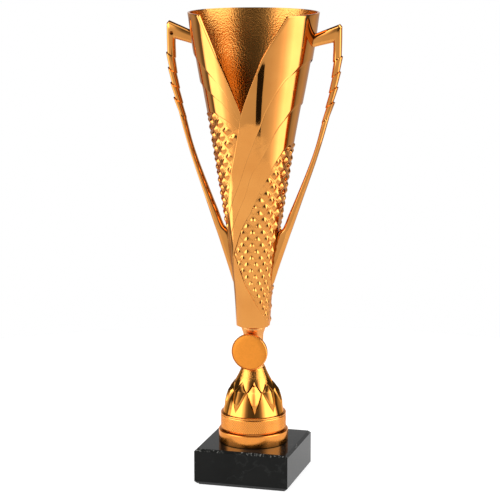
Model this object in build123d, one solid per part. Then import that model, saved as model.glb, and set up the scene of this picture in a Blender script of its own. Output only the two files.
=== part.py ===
from build123d import *
from math import cos, radians
import os

# Cup trophy: a tall flared cup with a cut-open front and two angular handles, on a
# short stem with an emblem holder, a bell-shaped foot and a square marble base.
# Millimetres. The origin is at the middle of the underside, +Z up, the front faces -Y,
# and the handles lie in the XZ plane.

# ---------------------------------------------------------------- driving dimensions
base_width = 80.0
base_height = 30.0
base_chamfer = 2.0
pad_thickness = 1.0
pad_inset = 3.0

foot_ring_radius = 29.1
foot_ring_height = 10.7
band_radius = 27.4
band_height = 14.8
bell_height = 38.5
bell_foot_radius = 25.8
bell_top_radius = 9.6
stem_height = 34.5
cup_height = 260.2
rim_radius = 53.6

emblem_height = 109.7
holder_radius = 15.3
holder_back = -9.4
holder_thickness = 4.6
holder_chamfer = 1.2
holder_edge = 0.5
insert_recess = 1.2
insert_radius = 14.2
insert_thickness = 0.9
insert_gap = 0.1
boss_radius = 6.5
boss_length = 9.4
emblem_peg_radius = 2.0
emblem_peg_length = 3.8
emblem_socket_depth = 4.0

handle_reach = 73.5
handle_depth = 8.0
handle_bevel = 2.2

rod_radius = 2.9
rod_chamfer = 0.5
wall = 2.2

# ---------------------------------------------------------------- heights in the stack
marble_bottom = pad_thickness
marble_top = marble_bottom + base_height
ring_top = marble_top + foot_ring_height
band_top = ring_top + band_height
bell_top = band_top + bell_height
stem_top = bell_top + stem_height
cup_top = stem_top + cup_height

# ---------------------------------------------------------------- clamping hardware
rod_clearance = 0.3
bore_radius = 4.0
counterbore_radius = 13.0
counterbore_depth = 9.0
washer_radius = 9.0
cup_washer_radius = 8.0
washer_thickness = 1.2
nut_across_flats = 10.0
nut_height = 5.0
rod_overhang = 1.8
counterbore_top = marble_bottom + counterbore_depth
cup_floor = 4.5

# ---------------------------------------------------------------- moulded joints
spigot_depth = 2.0
spigot_gap = 0.1
foot_wall = 4.6
web_thickness = 2.0
ring_edge = 0.8
band_shoulder = 1.6
peg_radius = 3.0
peg_height = 368.0
peg_inside = 5.0
peg_outside = 3.0
peg_middle = rim_radius - 3.0
clip_radius = 5.5
clip_thickness = 0.8
clip_place = rim_radius - 6.2
tongue_place = 19.5
tongue_depth = 6.0
tongue_height = 188.0
tongue_length = 14.0
tongue_width = 3.0

# ---------------------------------------------------------------- cup and its opening
# Outside radius of the cup against height above the stem, from the bottom to the rim.
cup_profile = [(14.4, 2.0), (16.6, 35.5), (24.8, 93.5), (31.4, 139.5), (37.6, 178.5),
               (44.3, 205.5), (50.4, 234.5), (rim_radius, cup_height)]
cup_bottom_radius = 10.6
cut_margin = 5.0
notch_left = -35.2
notch_right = 38.4
notch_tip = (0.8, 311.0)
notch_right_curve = (13.9, 344.3)
# The big leaf that crosses the front, as its two long edges seen from the front.
leaf_rise = 1.2
leaf_handle_gap = 0.4
leaf_left_edge = [notch_tip, (-6.8, 279.0), (-15.8, 237.0), (-19.0, 205.0)]
leaf_right_edge = [(-19.0, 205.0), (-12.9, 232.0), (4.3, 275.0), (20.0, 315.0),
                   (34.2, 338.0), (52.0, 352.0)]

# ---------------------------------------------------------------- bell, stem and flutes
# Outside radius of the bell against height above the band.
bell_profile = [(bell_foot_radius, 0.0), (23.1, 8.8), (20.4, 16.1), (15.5, 26.1),
                (bell_top_radius, bell_height)]
bell_roof = 5.0
bell_roof_radius = 7.0
stem_foot_radius = 9.4
stem_waist = (7.8, 9.0)
stem_swell = (8.4, stem_height - 8.0)
stem_cap = (10.2, stem_height - 2.0)
flute_count = 9
flute_lead_angle = 18.0
flute_bottom = 59.5
flute_middle = 76.0
flute_top = 84.0
flute_radius = 18.9
flute_width = 12.4
flute_rise = 1.0
flute_tip_scale = 0.03
bell_slope = 23.5

# ---------------------------------------------------------------- handle outline
handle_root = (45.0, 371.0)
handle_corner = (70.6, 381.6)
handle_shoulder = (handle_reach, 379.6)
handle_inner_root = (45.0, 361.3)
handle_inner_corner = (66.6, 366.9)
scale_count = 4
scale_lip = 0.9
scale_drop = 1.0
scale_edge = [(73.4, 355.5), (71.9, 343.2), (69.9, 330.9), (67.1, 318.6), (63.6, 306.3)]
scale_inner_edge = [(66.3, 351.0), (65.2, 338.7), (63.1, 326.4), (60.4, 314.1), (57.4, 301.8)]
blade_outer_end = (17.4, 166.0)
blade_inner_end = (9.0, 166.0)
dimple_radius = 1.5
dimple_depth = 3.0
dimple_place = (68.6, 371.5)


def washer(outer, inner, bottom, thickness):
    """A flat ring standing on the given height."""
    ring = Cylinder(outer, thickness) - Cylinder(inner, thickness)
    return Pos(0, 0, bottom + thickness / 2) * ring


def hex_nut(bottom):
    """A plain hexagon nut with a smooth bore."""
    body = extrude(RegularPolygon(nut_across_flats / 2, 6, major_radius=False), nut_height)
    return Pos(0, 0, bottom) * (body - Pos(0, 0, nut_height / 2) * Cylinder(rod_radius, nut_height))


def turned(outline):
    """The solid swept round +Z by an outline drawn as (radius, height)."""
    return revolve(Plane.XZ * make_face(outline), Axis.Z)


def rod_hole(bottom, top):
    """The clearance hole for the tie rod between two heights."""
    height = top - bottom
    return Pos(0, 0, bottom + height / 2) * Cylinder(rod_radius + rod_clearance, height)


def along_y(radius, front, length):
    """A disc or peg at the emblem's height, from its front face back along +Y."""
    return Pos(0, front + length / 2, emblem_height) * Rot(X=90) * Cylinder(radius, length)


def foam_pad():
    """The thin pad under the marble, open round the hardware."""
    side = base_width - 2 * pad_inset
    sheet = Pos(0, 0, pad_thickness / 2) * Box(side, side, pad_thickness)
    return sheet - Pos(0, 0, pad_thickness / 2) * Cylinder(counterbore_radius + 1, pad_thickness)


def marble_base():
    """The square block with a through bore and a pocket for the nut."""
    block = Pos(0, 0, marble_bottom + base_height / 2) * Box(base_width, base_width, base_height)
    rims = block.edges().group_by(Axis.Z)[0] + block.edges().group_by(Axis.Z)[-1]
    block = chamfer(rims, base_chamfer)
    block -= Pos(0, 0, marble_bottom + base_height / 2) * Cylinder(bore_radius, base_height)
    pocket = Cylinder(counterbore_radius, counterbore_depth)
    return block - Pos(0, 0, marble_bottom + counterbore_depth / 2) * pocket


def tie_rod():
    """The rod that clamps the whole stack between its two nuts."""
    bottom = counterbore_top - washer_thickness - nut_height - rod_overhang / 2
    top = stem_top + cup_floor + washer_thickness + nut_height + rod_overhang
    rod = Cylinder(rod_radius, top - bottom)
    rod = chamfer(rod.edges().filter_by(GeomType.CIRCLE), rod_chamfer)
    return Pos(0, 0, (top + bottom) / 2) * rod


def foot_ring():
    """A plain moulded ring with a thin web that centres it on the rod."""
    outline = Polyline((foot_ring_radius - foot_wall, marble_top + web_thickness),
                       (foot_ring_radius - foot_wall, ring_top),
                       (foot_ring_radius - ring_edge, ring_top),
                       (foot_ring_radius, ring_top - ring_edge),
                       (foot_ring_radius, marble_top),
                       (0, marble_top),
                       (0, marble_top + web_thickness),
                       close=True)
    return turned(outline) - rod_hole(marble_top, marble_top + web_thickness)


def knurled_band():
    """A ring that drops a spigot into the foot ring, with a rounded upper shoulder."""
    inner = band_radius - foot_wall
    spigot = foot_ring_radius - foot_wall - spigot_gap
    shoulder_foot = (band_radius, band_top - band_shoulder)
    shoulder_top = (band_radius - band_shoulder, band_top)
    side = Polyline((inner, band_top),
                    (inner, ring_top - spigot_depth),
                    (spigot, ring_top - spigot_depth),
                    (spigot, ring_top),
                    (band_radius, ring_top),
                    shoulder_foot)
    arc = TangentArc(shoulder_foot, shoulder_top, tangent=(0, 1))
    lid = Line(shoulder_top, (inner, band_top))
    return turned(side + arc + lid)


def flute(turn):
    """One raised diamond, a low four-sided point standing on the slope of the bell."""
    half = flute_width / 2
    below = (flute_middle - flute_bottom) / cos(radians(bell_slope))
    above = (flute_top - flute_middle) / cos(radians(bell_slope))
    diamond = make_face(Polyline((0, -below), (half, 0), (0, above), (-half, 0), close=True))
    pyramid = loft([diamond, Pos(0, 0, flute_rise) * scale(diamond, flute_tip_scale)])
    block = pyramid + extrude(diamond, -wall)
    return Rot(Z=turn) * Pos(0, -flute_radius, flute_middle) * Rot(X=90 - bell_slope) * block


def foot_bell():
    """A hollow bell with a closed top, a spigot at its foot and a ring of diamond flutes."""
    points = [(radius, band_top + height) for radius, height in bell_profile]
    inside = [(radius - wall, height) for radius, height in points[:-1]]
    roof = bell_top - bell_roof
    spigot = band_radius - foot_wall - spigot_gap
    outer = Spline(points)
    top = Polyline((bell_top_radius, bell_top), (0, bell_top), (0, roof),
                   (bell_roof_radius, roof), inside[-1])
    inner = Spline(inside[::-1])
    lip = Polyline(inside[0], (spigot - wall, band_top - spigot_depth), (spigot, band_top - spigot_depth),
                   (spigot, band_top), (bell_foot_radius, band_top))
    shell = turned(outer + top + inner + lip)
    core = turned(Spline([(r - wall / 2, z) for r, z in points]) +
                  Polyline((bell_top_radius - wall / 2, bell_top), (0, bell_top), (0, band_top),
                           (bell_foot_radius - wall / 2, band_top)))
    for index in range(flute_count):
        turn = flute_lead_angle + index * 360 / flute_count
        shell += flute(turn) - core
    return shell - rod_hole(roof, bell_top)


def stem():
    """A waisted neck with a flat boss on its front for the emblem holder."""
    profile = [(stem_foot_radius, 0.0), stem_waist, stem_swell, stem_cap]
    side = [(radius, bell_top + height) for radius, height in profile]
    cap = Polyline(side[-1], (stem_cap[0], stem_top), (0, stem_top), (0, bell_top), side[0])
    body = turned(Spline(side) + cap)
    body += along_y(boss_radius, -boss_length, boss_length)
    socket = along_y(emblem_peg_radius, -boss_length, emblem_socket_depth)
    return body - socket - rod_hole(bell_top, stem_top)


def emblem_holder():
    """A round dish with a thin rim round the insert and a peg into the stem."""
    front = holder_back - holder_thickness
    dish = along_y(holder_radius, front, holder_thickness)
    rims = dish.edges().filter_by(GeomType.CIRCLE).sort_by(Axis.Y)
    dish = chamfer(rims[-1], holder_chamfer)
    dish = chamfer(dish.edges().filter_by(GeomType.CIRCLE).sort_by(Axis.Y)[0], holder_edge)
    dish -= along_y(insert_radius + insert_gap, front, insert_recess)
    return dish + along_y(emblem_peg_radius, holder_back, emblem_peg_length)


def emblem_insert():
    """The flat disc that drops into the dish."""
    floor = holder_back - holder_thickness + insert_recess
    return along_y(insert_radius, floor - insert_thickness, insert_thickness)


def cup_envelope(proud=0.0):
    """The solid bounded by the outside of the cup, or by a surface standing proud of it."""
    side = Spline([(radius + proud, stem_top + height) for radius, height in cup_profile])
    start = (cup_profile[0][0] + proud, stem_top + cup_profile[0][1])
    top = (rim_radius + proud, cup_top)
    bottom = Polyline(top, (0, cup_top), (0, stem_top), (cup_bottom_radius, stem_top), start)
    return turned(side + bottom)


def front_leaf(envelope):
    """The raised layer of the leaf that runs from the rim on the right down to the left."""
    left = ThreePointArc((notch_right, cup_top), notch_right_curve, notch_tip) + Spline(leaf_left_edge)
    right = Spline(leaf_right_edge)
    end = leaf_right_edge[-1]
    outside = rim_radius + leaf_rise
    rim = Polyline(end, (outside, end[1]), (outside, cup_top), (notch_right, cup_top))
    beside_handle = handle_depth / 2 + leaf_handle_gap
    area = extrude(Plane.XZ.offset(beside_handle) * make_face(left + right + rim), rim_radius)
    return (cup_envelope(leaf_rise) - envelope) & area


def cup_hollow():
    """The space inside the cup, open at the rim."""
    inside = [(radius - wall, stem_top + height) for radius, height in cup_profile[1:]]
    floor_edge = (cup_profile[0][0] - wall, stem_top + cup_floor)
    side = Spline([floor_edge] + inside)
    lid = Polyline(inside[-1], (rim_radius - wall, cup_top + cut_margin), (0, cup_top + cut_margin),
                   (0, stem_top + cup_floor), floor_edge)
    return turned(side + lid)


def front_notch():
    """The leaf-shaped cut-out in the front, straight on its left and hollow on its right."""
    above = cup_top + cut_margin
    left = Line((notch_left, cup_top), notch_tip)
    right = ThreePointArc(notch_tip, notch_right_curve, (notch_right, cup_top))
    top = Polyline((notch_right, cup_top), (notch_right, above),
                   (notch_left, above), (notch_left, cup_top))
    return extrude(Plane.XZ * make_face(left + right + top), rim_radius + wall)


def handle_peg():
    """The round peg at the handle's upper end, along X through the cup wall."""
    peg = Rot(Y=90) * Cylinder(peg_radius, peg_inside + peg_outside)
    return Pos(peg_middle + (peg_outside - peg_inside) / 2, 0, peg_height) * peg


def handle_tongue():
    """The flat tongue that seats the handle's lower end in the cup wall."""
    return Pos(tongue_place, 0, tongue_height) * Box(tongue_depth, tongue_width, tongue_length)


def handle_outline():
    """Outline of the right handle in the XZ plane, with its stepped scales."""
    outer = [handle_root, handle_corner, handle_shoulder]
    inner = [handle_inner_root, handle_inner_corner]
    for index in range(scale_count):
        lip_x, lip_z = scale_edge[index]
        outer.append((lip_x, lip_z))
        outer.append((lip_x + scale_lip, lip_z - scale_drop))
        inner.append(scale_inner_edge[index])
    outer.append(scale_edge[-1])
    inner.append(scale_inner_edge[-1])
    outer.append(blade_outer_end)
    inner.append(blade_inner_end)
    return make_face(Polyline(*outer, *inner[::-1], close=True))


def handle_right(envelope):
    """A bevelled bar cut to sit on the cup, with its peg and tongue."""
    outline = handle_outline()
    straight = handle_depth - 2 * handle_bevel
    face = Plane.XZ.offset(-straight / 2) * outline
    bar = extrude(face, straight)
    front = extrude(Plane.XZ.offset(straight / 2) * outline, handle_bevel, taper=45)
    bar += front
    bar += mirror(front, Plane.XZ)
    bar -= envelope
    bar += handle_peg()
    bar += handle_tongue() & cup_shell_ring(envelope)
    dimple_x, dimple_z = dimple_place
    drill = Rot(X=90) * Cylinder(dimple_radius, 2 * dimple_depth)
    return bar - Pos(dimple_x, handle_depth / 2, dimple_z) * drill


def cup_shell_ring(envelope):
    """The full wall of the cup before its cut-outs."""
    return envelope - cup_hollow()


def cup_shell(envelope):
    """The cup with its front leaf, its notch and the openings for rod, pegs and tongues."""
    shell = cup_shell_ring(envelope) + front_leaf(envelope) - front_notch()
    shell -= rod_hole(stem_top, stem_top + cup_floor)
    for turn in (0, 180):
        shell -= Rot(Z=turn) * handle_peg()
        shell -= Rot(Z=turn) * handle_tongue()
    return shell


def handle_clip():
    """A push-on retaining ring on the peg, inside the cup."""
    ring = Cylinder(clip_radius, clip_thickness) - Cylinder(peg_radius, clip_thickness)
    return Pos(clip_place, 0, peg_height) * Rot(Y=90) * ring


def build_parts():
    """Every subcomponent, in its place in the assembly."""
    envelope = cup_envelope()
    right = handle_right(envelope)
    clip = handle_clip()
    cup_inside = stem_top + cup_floor
    base_washer_bottom = counterbore_top - washer_thickness
    washer_bore = rod_radius + rod_clearance
    return {
        "foam_pad": foam_pad(),
        "marble_base": marble_base(),
        "base_washer": washer(washer_radius, washer_bore, base_washer_bottom, washer_thickness),
        "base_nut": hex_nut(base_washer_bottom - nut_height),
        "tie_rod": tie_rod(),
        "foot_ring": foot_ring(),
        "knurled_band": knurled_band(),
        "foot_bell": foot_bell(),
        "stem": stem(),
        "emblem_holder": emblem_holder(),
        "emblem_insert": emblem_insert(),
        "cup_shell": cup_shell(envelope),
        "cup_washer": washer(cup_washer_radius, washer_bore, cup_inside, washer_thickness),
        "cup_nut": hex_nut(cup_inside + washer_thickness),
        "handle_right": right,
        "handle_left": Rot(Z=180) * right,
        "handle_clip_right": clip,
        "handle_clip_left": Rot(Z=180) * clip,
    }


os.makedirs("parts", exist_ok=True)
for name, solid in build_parts().items():
    export_step(solid, f"parts/{name}.step")
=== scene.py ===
from math import cos, pi, radians, sin, sqrt

import bpy
import bmesh
from mathutils import Matrix, Vector


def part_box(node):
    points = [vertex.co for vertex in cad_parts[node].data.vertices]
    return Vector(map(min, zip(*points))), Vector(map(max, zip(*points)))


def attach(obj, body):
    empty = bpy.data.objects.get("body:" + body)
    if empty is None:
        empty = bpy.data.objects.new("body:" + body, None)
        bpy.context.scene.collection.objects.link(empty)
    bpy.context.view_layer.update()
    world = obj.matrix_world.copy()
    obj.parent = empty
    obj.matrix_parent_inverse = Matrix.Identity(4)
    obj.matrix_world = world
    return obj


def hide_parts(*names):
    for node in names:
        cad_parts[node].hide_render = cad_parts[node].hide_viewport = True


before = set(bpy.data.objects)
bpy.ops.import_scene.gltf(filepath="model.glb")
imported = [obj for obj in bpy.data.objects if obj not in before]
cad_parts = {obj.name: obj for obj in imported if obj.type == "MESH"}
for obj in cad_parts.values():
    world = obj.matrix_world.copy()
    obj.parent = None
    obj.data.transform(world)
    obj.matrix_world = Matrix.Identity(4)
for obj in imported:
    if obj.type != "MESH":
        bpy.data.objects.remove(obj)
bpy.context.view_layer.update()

MM = 0.001

# ------------------------------------------------------------------ camera
# Angles in degrees round the cup run from the front (-Y) towards the right (+X).
CAMERA_AZIMUTH = 15.53
CAMERA_DISTANCE = 1.5998
CAMERA_HEIGHT = 0.5082
CAMERA_PITCH = 11.124
CAMERA_YAW = 0.104
CAMERA_LENS = 141.87


def make_camera():
    turn = radians(CAMERA_AZIMUTH)
    data = bpy.data.cameras.new("camera")
    data.lens = CAMERA_LENS
    data.sensor_width = 36.0
    data.clip_end = 20.0
    camera = bpy.data.objects.new("camera", data)
    camera.location = (sin(turn) * CAMERA_DISTANCE, -cos(turn) * CAMERA_DISTANCE, CAMERA_HEIGHT)
    camera.rotation_euler = (radians(90 - CAMERA_PITCH), 0, radians(CAMERA_AZIMUTH + CAMERA_YAW))
    bpy.context.scene.collection.objects.link(camera)
    bpy.context.scene.camera = camera


# ------------------------------------------------------------------ node helpers
class Graph:
    """The node tree of one material or world, with a short call for each kind of node."""

    def __init__(self, tree):
        self.nodes = tree.nodes
        self.links = tree.links

    def feed(self, node, inputs):
        """Gives a node's inputs their values, each a number, a colour or another node's output."""
        for slot, value in inputs.items():
            if isinstance(value, bpy.types.NodeSocket):
                self.links.new(value, node.inputs[slot])
            else:
                node.inputs[slot].default_value = value

    def make(self, kind, inputs, output=0, **settings):
        """Adds a node and returns one of its outputs."""
        node = self.nodes.new("ShaderNode" + kind)
        for name, value in settings.items():
            setattr(node, name, value)
        self.feed(node, inputs)
        return node.outputs[output]

    def coords(self, kind="Object"):
        return self.make("TexCoord", {}, kind)

    def part(self, vector, axis):
        return self.make("SeparateXYZ", {"Vector": vector}, axis)

    def noise(self, coords, scale, detail, rough=0.5, output="Fac"):
        inputs = {"Vector": coords, "Scale": scale, "Detail": detail, "Roughness": rough}
        return self.make("TexNoise", inputs, output)

    def ramp(self, value, *stops):
        """A colour ramp through (place, colour) stops, where a number stands for a grey."""
        node = self.nodes.new("ShaderNodeValToRGB")
        elements = node.color_ramp.elements
        while len(elements) < len(stops):
            elements.new(0.5)
        for element, (place, colour) in zip(elements, stops):
            element.position = place
            element.color = (*colour, 1.0) if isinstance(colour, tuple) else (colour, colour, colour, 1.0)
        self.feed(node, {"Fac": value})
        return node.outputs["Color"]

    def bump(self, height, strength, distance):
        return self.make("Bump", {"Height": height, "Strength": strength, "Distance": distance})

    def maths(self, operation, *values):
        return self.make("Math", dict(enumerate(values)), operation=operation)

    def blend(self, share, first, second, kind="RGBA", mode="MIX"):
        inputs = {"Factor": share, "A": first, "B": second}
        return self.make("Mix", inputs, "Result", data_type=kind, blend_type=mode)

    def ease(self, value, start, end, low=0.0, high=1.0, curve="SMOOTHSTEP"):
        """Goes from low to high while a value goes from start to end."""
        inputs = {"Value": value, "From Min": start, "From Max": end, "To Min": low, "To Max": high}
        return self.make("MapRange", inputs, "Result", interpolation_type=curve)

    def window(self, value, low, high, soft):
        """1 between low and high, falling to 0 over a soft margin on either side."""
        return self.maths("MULTIPLY", self.ease(value, low - soft, low + soft),
                          self.ease(value, high - soft, high + soft, 1.0, 0.0))


# The upper edge of a window that has none.
NO_LIMIT = 120.0


def new_material(name):
    material = bpy.data.materials.new(name)
    material.use_nodes = True
    graph = Graph(material.node_tree)
    return material, graph, graph.nodes["Principled BSDF"]


# ------------------------------------------------------------------ materials
GOLD_DEEP = (0.62, 0.238, 0.043)
GOLD_LIGHT = (0.69, 0.286, 0.058)
EDGE_TINT = (0.95, 0.66, 0.46, 1.0)
GOLD_CLOUD = 28.0
# Painted shade in creases: how far the occlusion test reaches, and the darkest and middle tints it multiplies
# into the colour.
PAINTED_SHADE_REACH = 0.0016
PAINTED_SHADE_DARK = (0.17, 0.24, 0.30)
PAINTED_SHADE_HALF = (0.62, 0.72, 0.78)
GRAIN_SCALE = 760.0
GRAIN_DEPTH = 0.00045
BELL_GRAIN_FROM = 83.0
BELL_GRAIN_TO = 87.0
MARBLE_GROUND = ((0.0042, 0.0044, 0.0040), (0.0076, 0.0079, 0.0074))
MARBLE_VEIN = (0.020, 0.021, 0.020, 1.0)
# Pale flecks painted along the marble's upper bevel between these heights: a painted highlight.
MARBLE_BEVEL_HIGHLIGHT = (0.15, 0.15, 0.14, 1.0)
BEVEL_HIGHLIGHT_FROM = 29.1
BEVEL_HIGHLIGHT_TO = 30.9


def painted_crevice_shade(graph, colour, own=False):
    """Paints shade into a colour: darker in folds and along the foot of steps, where ambient occlusion finds
    nearby surfaces.
    """
    shut = graph.make("AmbientOcclusion", {"Distance": PAINTED_SHADE_REACH}, "AO", samples=12, only_local=own)
    painted_shade = graph.ramp(shut, (0.35, PAINTED_SHADE_DARK), (0.62, PAINTED_SHADE_HALF), (0.86, 1.0))
    return graph.blend(1.0, colour, painted_shade, mode="MULTIPLY")


def gold(name, roughness=(0.025, 0.05), deep=GOLD_DEEP, light=GOLD_LIGHT, own=False):
    """Vacuum metallised plastic: a bronze gold mirror with slow moulding ripples and faint haze."""
    material, graph, shader = new_material(name)
    coords = graph.coords()
    tint = graph.ramp(graph.noise(coords, GOLD_CLOUD, 3.0), (0.35, deep), (0.65, light))
    haze = graph.noise(coords, 140.0, 5.0, 0.6)
    graph.feed(shader, {
        # The base colour carries painted shade, darkened in folds and at the foot of steps.
        "Base Color": painted_crevice_shade(graph, tint, own),
        "Roughness": graph.ramp(haze, (0.3, roughness[0]), (0.7, roughness[1])),
        "Normal": graph.bump(graph.noise(coords, 60.0, 2.0), 0.05, 0.0006),
        "Metallic": 1.0,
        "Specular Tint": EDGE_TINT,
        "Coat Weight": 0.3,
        "Coat Roughness": 0.04})
    return material


def hammered_gold(name):
    """The leather-grained lining: small rounded cells pressed into the metallised skin, in a darker gold that
    paints shade into the cup's inside.
    """
    material, graph, shader = new_material(name)
    coords = graph.coords()
    inputs = {"Vector": coords, "Scale": GRAIN_SCALE, "Smoothness": 0.35}
    cells = graph.make("TexVoronoi", inputs, "Distance", feature="SMOOTH_F1")
    cloud = graph.noise(coords, 40.0, 4.0)
    graph.feed(shader, {
        # Darker base colour than the outer gold: painted shade for the dim inside of the cup.
        "Base Color": graph.ramp(cloud, (0.3, (0.44, 0.185, 0.040)), (0.7, (0.55, 0.240, 0.056))),
        "Roughness": graph.ramp(cells, (0.0, 0.16), (0.6, 0.24)),
        "Normal": graph.bump(cells, 0.27, GRAIN_DEPTH),
        "Metallic": 1.0,
        "Specular Tint": EDGE_TINT})
    return material


def bell_gold(name):
    """The gold of the bell, mirror bright below and finely grained on the cone above the flutes."""
    material, graph, shader = new_material(name)
    coords = graph.coords()
    high = graph.ease(graph.part(coords, "Z"), BELL_GRAIN_FROM * MM, BELL_GRAIN_TO * MM, curve="LINEAR")
    grain = graph.maths("MULTIPLY", graph.noise(coords, 1500.0, 2.0), high)
    tint = graph.ramp(graph.noise(coords, GOLD_CLOUD, 3.0), (0.35, GOLD_DEEP), (0.65, GOLD_LIGHT))
    graph.feed(shader, {
        # The base colour carries painted shade, darkened in folds and at the foot of steps.
        "Base Color": painted_crevice_shade(graph, tint),
        "Roughness": graph.ramp(high, (0.0, 0.08), (1.0, 0.16)),
        "Normal": graph.bump(grain, 0.5, 0.0004),
        "Metallic": 1.0,
        "Specular Tint": EDGE_TINT})
    return material


def satin_gold(name):
    """The blank insert: an even, finely brushed satin gold."""
    material, graph, shader = new_material(name)
    haze = graph.noise(graph.coords(), 600.0, 6.0, 0.7)
    graph.feed(shader, {
        "Base Color": graph.ramp(haze, (0.35, (0.68, 0.232, 0.026)), (0.65, (0.75, 0.262, 0.031))),
        "Roughness": graph.ramp(haze, (0.3, 0.42), (0.7, 0.5)),
        "Normal": graph.bump(haze, 0.12, 0.0002),
        "Metallic": 0.9})
    return material


def black_marble(name):
    """Polished black marble with thin pale veins, an uneven polish, and pale flecks painted along its upper
    bevel as a highlight.
    """
    material, graph, shader = new_material(name)
    coords = graph.coords()
    warp = graph.noise(coords, 22.0, 5.0, 0.6, "Color")
    bent = graph.make("VectorMath", {0: warp, 1: (0.035, 0.035, 0.035), 2: coords}, operation="MULTIPLY_ADD")
    veins = graph.noise(bent, 26.0, 6.0, 0.55)
    vein = graph.ramp(veins, (0.485, 0.0), (0.499, 0.55), (0.505, 0.12), (0.52, 0.0))
    cloud = graph.noise(coords, 45.0, 6.0, 0.65)
    ground = graph.ramp(cloud, (0.3, MARBLE_GROUND[0]), (0.75, MARBLE_GROUND[1]))
    stone = graph.blend(vein, ground, MARBLE_VEIN)
    # Pale flecks on the upper bevel, masked by fine and broad noise: a painted highlight.
    bevel = graph.window(graph.part(coords, "Z"), BEVEL_HIGHLIGHT_FROM * MM, BEVEL_HIGHLIGHT_TO * MM, 0.0002)
    highlight_flecks = graph.window(graph.noise(coords, 620.0, 3.0, 0.6), 0.585, NO_LIMIT, 0.02)
    highlight_patch = graph.window(graph.noise(coords, 30.0, 2.0), 0.50, NO_LIMIT, 0.05)
    painted_highlight = graph.maths("MULTIPLY", graph.maths("MULTIPLY", highlight_flecks, highlight_patch), bevel)
    graph.feed(shader, {
        "Base Color": graph.blend(painted_highlight, stone, MARBLE_BEVEL_HIGHLIGHT),
        "Roughness": graph.ramp(cloud, (0.3, 0.07), (0.7, 0.13)),
        "Specular IOR Level": 0.10})
    return material


def zinc_steel(name):
    material, graph, shader = new_material(name)
    haze = graph.noise(graph.coords(), 300.0, 5.0, 0.6)
    graph.feed(shader, {
        "Base Color": graph.ramp(haze, (0.3, (0.50, 0.50, 0.47)), (0.7, (0.63, 0.63, 0.61))),
        "Roughness": graph.ramp(haze, (0.3, 0.25), (0.7, 0.42)),
        "Metallic": 1.0})
    return material


def black_foam(name):
    material, graph, shader = new_material(name)
    pores = graph.noise(graph.coords(), 1500.0, 4.0, 0.7)
    graph.feed(shader, {
        "Base Color": graph.ramp(pores, (0.3, 0.008), (0.7, 0.026)),
        "Normal": graph.bump(pores, 0.5, 0.0004),
        "Roughness": 0.85})
    return material


# ------------------------------------------------------------------ mesh helpers
def make_piece(name, verts, faces, material, node, sharp=35.0, merge=True):
    """A piece from vertices in millimetres, riding on the root and standing for a CAD node."""
    mesh = bpy.data.meshes.new(name)
    mesh.from_pydata([(x * MM, y * MM, z * MM) for x, y, z in verts], [], faces)
    mesh.validate()
    piece = bpy.data.objects.new(name, mesh)
    bpy.context.scene.collection.objects.link(piece)
    made = bmesh.new()
    made.from_mesh(mesh)
    if merge:
        bmesh.ops.remove_doubles(made, verts=made.verts, dist=1e-7)
    bmesh.ops.recalc_face_normals(made, faces=made.faces)
    made.to_mesh(mesh)
    made.free()
    mesh.shade_smooth()
    mesh.set_sharp_from_angle(angle=radians(sharp))
    mesh.materials.append(material)
    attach(piece, "root")
    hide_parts(node)
    return piece


class Shape:
    """Vertices and faces gathered before they become one mesh."""

    def __init__(self):
        self.verts = []
        self.faces = []

    def grid(self, rows, wrap_rows=False, wrap_columns=False):
        """Joins rows of equal length into quads and returns the index of the first vertex."""
        start = len(self.verts)
        count = len(rows[0])
        for row in rows:
            self.verts.extend(row)
        row_steps = len(rows) if wrap_rows else len(rows) - 1
        column_steps = count if wrap_columns else count - 1
        for i in range(row_steps):
            for j in range(column_steps):
                a = start + i * count + j
                b = start + i * count + (j + 1) % count
                c = start + ((i + 1) % len(rows)) * count + (j + 1) % count
                d = start + ((i + 1) % len(rows)) * count + j
                self.faces.append((a, b, c, d))
        return start

    def cap(self, start, count):
        self.faces.append(tuple(range(start, start + count)))

    def bar(self, rows):
        """Joins closed rows of points into a bar with a cap at either end."""
        start = self.grid(rows, wrap_columns=True)
        count = len(rows[0])
        self.cap(start, count)
        self.cap(start + (len(rows) - 1) * count, count)


def around(radius, angle, height):
    """A point at an angle in degrees from the front, towards +X."""
    turn = radians(angle)
    return (radius * sin(turn), -radius * cos(turn), height)


def mix(a, b, t):
    return a + (b - a) * t


def smooth_step(t):
    t = min(1.0, max(0.0, t))
    return t * t * (3 - 2 * t)


def cubic(xs, ys, tangents):
    """The cubic through points in rising x with a slope at each, as a function of x."""
    def value(x):
        x = min(max(x, xs[0]), xs[-1])
        i = 0
        while i < len(xs) - 2 and x > xs[i + 1]:
            i += 1
        width = xs[i + 1] - xs[i]
        t = (x - xs[i]) / width
        a = 2 * t ** 3 - 3 * t ** 2 + 1
        b = t ** 3 - 2 * t ** 2 + t
        c = -2 * t ** 3 + 3 * t ** 2
        d = t ** 3 - t ** 2
        return a * ys[i] + b * width * tangents[i] + c * ys[i + 1] + d * width * tangents[i + 1]

    return value


def curve_through(points):
    """A monotone cubic through (x, y) points in rising x, as a function of x."""
    xs, ys = zip(*points)
    slopes = [(ys[i + 1] - ys[i]) / (xs[i + 1] - xs[i]) for i in range(len(xs) - 1)]
    tangents = [slopes[0]]
    for left, right in zip(slopes, slopes[1:]):
        tangents.append(0.0 if left * right <= 0 else 2 * left * right / (left + right))
    return cubic(xs, ys, tangents + [slopes[-1]])


def curve_free(points):
    """A Catmull-Rom curve through (x, y) points in rising x, as a function of x."""
    xs, ys = zip(*points)
    tangents = []
    for i in range(len(xs)):
        low = max(i - 1, 0)
        high = min(i + 1, len(xs) - 1)
        tangents.append((ys[high] - ys[low]) / (xs[high] - xs[low]))
    return cubic(xs, ys, tangents)


# Roughly one degree's length on the wall, for sharing out a path.
MM_PER_DEGREE = 0.6


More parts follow.
